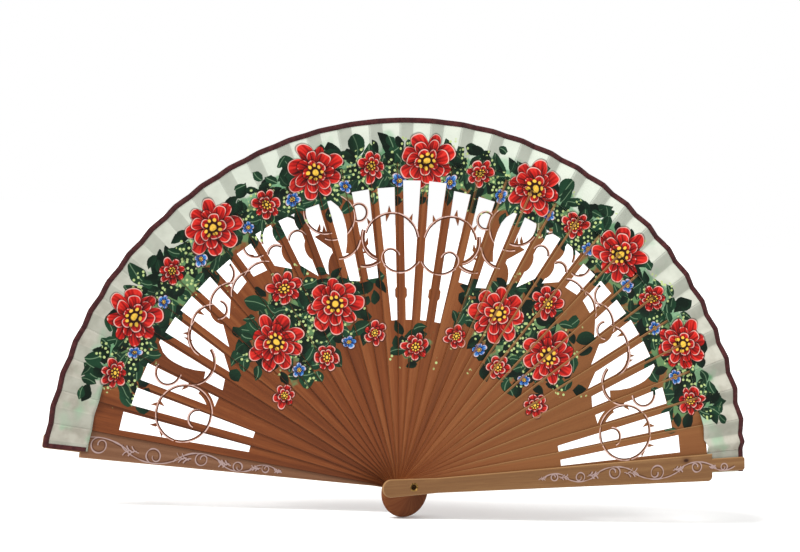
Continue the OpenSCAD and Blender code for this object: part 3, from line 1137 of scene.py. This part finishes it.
@dataclass
class Rivet:
    """The pin and its two cupped washers."""

    pin: BrassFinish
    washers: BrassFinish

    def build(self) -> None:
        """Give the pin brass painted nearly black as shade in the rivet's eye, and the washers
        brighter brass.
        """
        pin, washers = self.pin.material(), self.washers.material()
        for name in ("rivet_pin", "rivet_front_washer", "rivet_rear_washer"):
            finish = pin if name == "rivet_pin" else washers
            frame["nodes"][name].data.materials[0] = finish
            LOG.info("%s: %s", name, finish.name)


@dataclass(frozen=True)
class ClothFinish(Finish):
    """Thin plain-woven cotton, sized stiff: a pale green white with no gloss."""

    name: str = "sized_cotton"
    colours: tuple[str, ...] = ("#8e8a7e", "#a4a195")
    tones: tuple[float, ...] = (0.35, 0.62)
    relief: Pair = (0.35, 0.05)
    tint: str = "#7fa083"
    # the next colour is painted shade on one side of each pleat, the side that faces away from the
    # light
    facet: str = "#7d8075"
    # the next colour is painted light: the cloth is made lighter towards the top
    clean: str = "#bdc6ba"
    thread_mm: float = 0.7  # real threads are 0.25 mm apart, too fine to show
    slub: float = 0.6
    roughness: float = 0.85
    sheen: float = 0.04
    gloss: float = 0.12
    cloud_mm: float = 9.0
    # heights between which the painted light at the top comes in, and its strength
    clean_z: Fade = (50.0, 190.0, 0.65)
    stain_mm: float = 18.0
    stain_shift: float = 30.0
    stain_r: float = 190.0
    stain_fall: float = 0.012
    stain_edge: Fade = (0.42, 0.6, 0.75)
    # where across each pleat the painted shade begins and ends, and its strength
    facet_from: Pair = (0.47, 0.53)
    facet_to: Pair = (1.0, 0.97)
    facet_share: float = 0.45

    def material(self, layout: FanLayout, paint: PaintFinish) -> Material:
        """Return the cloth, stained at its inner edge, with painted light at the top, painted shade
        on one side of each fold, and the flowers.
        """
        material, shader = self.start()
        tree = material.node_tree
        canvas = Canvas(tree, layout)
        coat = self.coat(tree, canvas.mottle(self.cloud_mm, 3.0))
        # painted light: the cloth grows lighter towards the top
        coat.lay(canvas.z.cover(*self.clean_z), self.clean)
        radius = canvas.x.hypot(canvas.z)
        place = canvas.spot(canvas.z, canvas.x, self.stain_shift)
        stain = canvas.mottle(self.stain_mm, 2.0, place) - (radius - self.stain_r) * self.stain_fall
        coat.lay(stain.cover(*self.stain_edge), self.tint)
        # painted shade on the side of each pleat that faces away from the light
        _, bar = canvas.polar(canvas.x, canvas.z)
        fold = (bar + (layout.count + 1) / 2).to("FRACT")
        side = fold.cover(*self.facet_from) * fold.cover(*self.facet_to)
        coat.lay(side * self.facet_share, self.facet)
        PaintedFace(canvas, paint).lay(coat)
        height = canvas.mottle(self.thread_mm, 1.0, canvas.point)
        scale = math.pi / (10 * self.thread_mm)  # a wave texture repeats every pi / 10 at scale 1
        threads = {"Vector": canvas.point, "Scale": scale, "Distortion": self.slub}
        for way in ("X", "Z"):
            wave = add_node(tree, "ShaderNodeTexWave", threads, bands_direction=way)
            height = height + Signal(wave.outputs[1])
        self.dress(shader, coat, height)
        return material


@dataclass(frozen=True)
class TapeFinish(Finish):
    """Folded cotton tape, dyed a dark red brown, a little worn."""

    name: str = "dyed_cotton_tape"
    colours: tuple[str, ...] = ("#321214", "#482120")
    tones: tuple[float, ...] = (0.4, 0.75)
    relief: Pair = (0.4, 0.08)
    thread_mm: float = 0.5
    roughness: float = 0.8
    sheen: float = 0.06
    gloss: float = 0.15
    blot_mm: float = 2.5

    def material(self, layout: FanLayout) -> Material:
        """Return the binding's dyed tape."""
        material, shader = self.start()
        tree = material.node_tree
        canvas = Canvas(tree, layout)
        coat = self.coat(tree, canvas.mottle(self.blot_mm, 3.0, canvas.point))
        self.dress(shader, coat, canvas.mottle(self.thread_mm, 1.0, canvas.point))
        return material


@dataclass
class Leaf:
    """The pleated cloth band, cut at its mountain folds: each part moves with its own stick.

    Lengths are in millimetres, and places in the fan count sticks from the rear guard.
    """

    layout: FanLayout
    cloth: ClothFinish
    tape: TapeFinish
    paint: PaintFinish
    thickness: float = 0.3
    fullness: float = 1.06
    gap: float = 0.35
    pleat_in: float = 2.0
    pleat_out: float = 4.2
    tape_width: float = 3.0
    tape_t: float = 0.26
    tail_share: float = 0.125
    tail_lap: float = 0.012
    tail_in: float = 1.0
    tail_under: float = 0.1
    tuck: float = 0.6
    start: float = -0.24
    end: float = 33.2
    last_fold: float = 0.24
    last_rise: float = 0.6
    last_flat: float = 0.47
    clear_r: float = 187.5
    half_gap: float = 0.075
    rounding: float = 0.035
    ripple: float = 0.25
    ripple_rise: float = 12.0
    ripple_steps: tuple[float, ...] = (1.7, 0.11, 4.0)
    columns: int = 20
    rows: int = 14

    def span(self, number: int) -> Pair:
        """Return where a panel begins and ends in the fan."""
        last = number > self.layout.count
        return max(self.start, number - 0.5), self.end if last else number + 0.5

    def inner_edge(self, place: float) -> float:
        """Return the radius of the inner edge, which clears the last stick where cloth tucks in."""
        share = min(1.0, max(0.0, (place - self.layout.count) / self.last_fold))
        return self.layout.leaf_in + (self.clear_r - self.layout.leaf_in) * share

    @cached_property
    def creases(self) -> list[tuple[float, float, float]]:
        """Give each fold line's place, its depth on the rib and its share of the pleat's height."""
        layout = self.layout
        rib = [layout.front_of(k) - self.gap for k in range(layout.count + 1)]
        lines = [(self.start, rib[0], 0.0), (0.0, rib[0], 0.0)]
        for k in range(layout.count):
            lines += [(k + 0.5, (rib[k] + rib[k + 1]) / 2, 1.0), (k + 1.0, rib[k + 1], 0.0)]
        under = layout.guard_front + self.thickness + self.tuck
        last = float(layout.count)
        lines.append((last + self.last_fold, rib[-1], self.last_rise))
        return lines + [(last + self.last_flat, under, 0.0), (self.end, under, 0.0)]

    def straight(self, place: float, height: float) -> float:
        """Return the depth on the straight line between two folds, for a pleat of that height."""
        place = min(max(place, self.start), self.end)
        after = min(max(1, bisect.bisect_left(self.creases, (place,))), len(self.creases) - 1)
        (p0, d0, h0), (p1, d1, h1) = self.creases[after - 1 : after + 1]
        share = (place - p0) / (p1 - p0)
        return d0 + (d1 - d0) * share - height * (h0 + (h1 - h0) * share)

    def point(self, place: float, radius: float, forward: float) -> Vector:
        """Return a point of the cloth in metres, with its folds a little rounded."""
        layout, soft = self.layout, self.rounding
        share = (radius - layout.leaf_in) / (layout.rim - layout.leaf_in)
        height = self.pleat_in + (self.pleat_out - self.pleat_in) * share
        around = ((place - soft, 0.25), (place, 0.5), (place + soft, 0.25))
        depth = sum(self.straight(p, height) * weight for p, weight in around)
        by_bar, by_radius, seed = self.ripple_steps
        ripple = noise.noise(Vector((place * by_bar, radius * by_radius, seed)))
        rise = min(1.0, (radius - layout.leaf_in) / self.ripple_rise)
        depth -= self.ripple * ripple * rise + forward
        angle = layout.bearing(place)
        return Vector((radius * math.cos(angle), depth, radius * math.sin(angle))) * MM

    def strip(
        self,
        name: str,
        span: Pair,
        edges: Pair,
        faces: Pair,
        material: Material,
    ) -> Object:
        """Make a closed strip of cloth that follows the pleats.

        Args:
            name: the new object's name.
            span: the places in the fan where it begins and ends.
            edges: radii of its inner and outer edges.
            faces: how far its back and its front lie in front of the cloth's back.
            material: its finish.

        Returns:
            The object.
        """
        low, high = span
        columns = max(4, round(self.columns * (high - low)))
        share = (edges[1] - edges[0]) / (self.layout.rim - self.layout.leaf_in)
        rows = max(2, round(self.rows * share))
        bm = bmesh.new()
        bmesh.ops.create_grid(bm, x_segments=columns, y_segments=rows, size=1.0)
        made = bmesh.ops.extrude_face_region(bm, geom=list(bm.faces), use_keep_orig=True)
        lifted = {g for g in made["geom"] if isinstance(g, BMVert)}
        for v in bm.verts:
            place = low + (high - low) * (v.co.x + 1) / 2
            inner = max(edges[0], self.inner_edge(place))
            radius = inner + (edges[1] - inner) * (v.co.y + 1) / 2
            v.co = self.point(place, radius, faces[1] if v in lifted else faces[0])
        bmesh.ops.recalc_face_normals(bm, faces=bm.faces)
        piece = new_piece(name, bm, material)
        piece.data.shade_smooth()
        return piece

    def hang(self, piece: Object, number: int, node: str, slot: str) -> None:
        """Let a piece move with the stick at its place.

        Args:
            piece: the strip of cloth or tape.
            number: its place in the fan.
            node: the CAD node that it stands for.
            slot: not used.
        """
        layout = self.layout
        rest = layout.front_of(number) - self.half_gap
        if number > layout.count:
            rest = layout.guard_front + self.half_gap
        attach(piece, layout.body(number))
        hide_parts(node)
        rest * MM
        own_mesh(piece)
        LOG.info("%s: cloth on %s", piece.name, layout.body(number))

    def build(self) -> None:
        """Make every panel with its tape, and the tape's tail down the left end."""
        layout = self.layout
        cloth, tape = self.cloth.material(layout, self.paint), self.tape.material(layout)
        rim_in = layout.rim - self.tape_width
        wrap = (-self.tape_t, self.thickness + self.tape_t)
        mean = (layout.leaf_in + layout.rim) / 2
        span = (self.start - self.tail_lap, self.start + self.tail_share)
        edges = (layout.leaf_in + self.tail_in, rim_in + self.tail_under)
        tail = self.strip("binding_tail", span, edges, wrap, tape)
        self.hang(tail, 0, "edge_binding", "binding")
        edges, faces = (layout.leaf_in, layout.rim - self.tape_t), (0.0, self.thickness)
        for number in range(layout.count + 2):
            span = self.span(number)
            panel = self.strip(f"leaf_panel_{number:02d}", span, edges, faces, cloth)
            band = self.strip(f"binding_{number:02d}", span, (rim_in, layout.rim), wrap, tape)
            self.hang(panel, number, "leaf", "cloth")
            self.hang(band, number, "edge_binding", "binding")
            carrier = "front_guard_stave" if number > layout.count else layout.body(number)
            length = (span[1] - span[0]) * layout.pitch * mean * self.fullness
            length * MM


@dataclass
class Studio:
    """A pale floor, soft light, and a camera at the photograph's viewing angle."""

    layout: FanLayout
    azimuth: float = -20.0
    elevation: float = 1.4
    roll: float = 3.7
    distance_mm: float = 1500.0
    lens_mm: float = 117.6
    target_mm: tuple[float, float, float] = (-11.5, 0.0, 119.7)
    clip_m: Pair = (0.01, 100.0)
    sky: float = 1.0
    sun: float = 3.2
    sun_spread_deg: float = 20.0
    sun_way: tuple[float, float, float] = (0.7, 0.5, -0.9)
    floor_m: float = 30.0
    floor_drop_mm: float = 0.2
    floor_colour: str = "#fbfbfa"

    def floor(self) -> None:
        """Lay a wide floor just under the fan: a matt near-white that only shows the shadow."""
        bm = bmesh.new()
        bmesh.ops.create_grid(bm, x_segments=1, y_segments=1, size=self.floor_m)
        level = self.layout.lowest - self.floor_drop_mm * MM
        bmesh.ops.translate(bm, verts=bm.verts, vec=(0, 0, level))
        material, _ = new_material("pale_floor", Base_Color=self.floor_colour, Roughness=0.9)
        new_piece("floor", bm, material)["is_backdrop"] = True

    def light(self) -> None:
        """Set an even white sky and a wide soft sun from the upper left."""
        world = bpy.data.worlds.new("studio")
        bpy.context.scene.world = world
        world.use_nodes = True
        sky = world.node_tree.nodes["Background"]
        sky.inputs[0].default_value = (1, 1, 1, 1)
        sky.inputs[1].default_value = self.sky
        sun = bpy.data.lights.new("key", "SUN")
        sun.energy = self.sun
        sun.angle = math.radians(self.sun_spread_deg)
        lamp = bpy.data.objects.new("key", sun)
        lamp.rotation_euler = Vector(self.sun_way).to_track_quat("-Z", "Y").to_euler()
        bpy.context.scene.collection.objects.link(lamp)
        bpy.context.scene.view_settings.view_transform = "Standard"

    def camera(self) -> None:
        """Place the camera where the photograph was taken from."""
        a, e, roll = (math.radians(v) for v in (self.azimuth, self.elevation, self.roll))
        back = Vector((math.sin(a) * math.cos(e), -math.cos(a) * math.cos(e), math.sin(e)))
        level = Vector((0, 0, 1)).cross(back).normalized()
        upright = back.cross(level)
        right = level * math.cos(roll) + upright * math.sin(roll)
        up = back.cross(right)
        data = bpy.data.cameras.new("camera")
        data.lens = self.lens_mm
        data.clip_start, data.clip_end = self.clip_m
        camera = bpy.data.objects.new("camera", data)
        place = Vector(self.target_mm) * MM + back * self.distance_mm * MM
        turn = Matrix((right, up, back)).transposed().to_4x4()
        camera.matrix_world = Matrix.Translation(place) @ turn
        bpy.context.scene.collection.objects.link(camera)
        bpy.context.scene.camera = camera

    def build(self) -> None:
        """Set up floor, light and camera."""
        self.floor()
        self.light()
        self.camera()


def main() -> None:
    """Build the fan's looks in order, and measure its size before and after."""
    logging.basicConfig(level=logging.INFO, format="%(name)s: %(message)s")
    cad_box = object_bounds()
    layout = FanLayout.from_frame()
    paint = PaintFinish()
    stick_wood = WoodFinish("pear_wood", ("#562b14", "#6a381b", "#7e4c2a"))
    guard_wood = WoodFinish("guard_pear_wood", ("#5c3e26", "#6c4c2f", "#80603e"))
    rear_wood = WoodFinish("shaded_pear_wood", ("#5a3a28", "#684732", "#7c5a44"))
    StickSet(layout, stick_wood, paint, ScrollLines()).build()
    rear_vine = GuardVine(74.0, (14.0, 19.0, 25.0, 31.0, 33.0), (2.4, 0.6), -1.0)
    front_vine = GuardVine(80.0, (14.0, 19.0, 25.0, 30.0, 22.0, 14.0), (0.0, 0.4))
    Guard(layout, rear_wood, "rear_guard", "base", 0.0, rear_vine).build()
    front = layout.count + 1.0
    Guard(layout, guard_wood, "front_guard", "front_guard", front, front_vine, (172.0, 5.2)).build()
    # the pin's brass is painted nearly black, as the shade in the rivet's eye
    Rivet(BrassFinish("brass_darkened_as_shade", ("#080503", "#2e2010")), BrassFinish()).build()
    Leaf(layout, ClothFinish(), TapeFinish(), paint).build()
    Studio(layout).build()
    boxes = {"cad": cad_box, "visual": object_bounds()}


if __name__ == "__main__":
    main()
